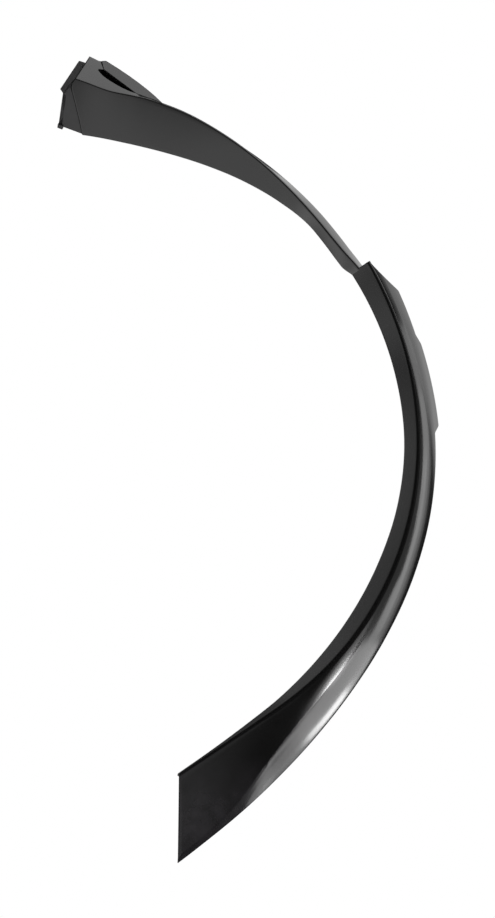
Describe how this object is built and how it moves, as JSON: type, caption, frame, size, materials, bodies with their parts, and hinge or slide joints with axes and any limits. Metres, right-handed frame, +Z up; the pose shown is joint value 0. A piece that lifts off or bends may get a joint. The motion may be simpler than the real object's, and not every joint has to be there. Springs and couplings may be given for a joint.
{
  "type": "wheel arch trim",
  "caption": "Curved black plastic trim strip that frames a rear wheel arch, with an inward lip, a sloped flank, a set-back door section and clip seats behind.",
  "frame": {"origin": "centre of the crown locating pin, on the plane of the body panel that the quarter section lies on", "axes": "+X along the car towards the bumper, +Y into the car (square to the body panel), +Z up"},
  "size_m": [0.9362, 0.0728, 0.4863],
  "materials": {
    "black_plastic": "fine satin moulding grain"
  },
  "bodies": {
    "root": {"arch_trim": "black_plastic"}
  },
  "joints": []
}
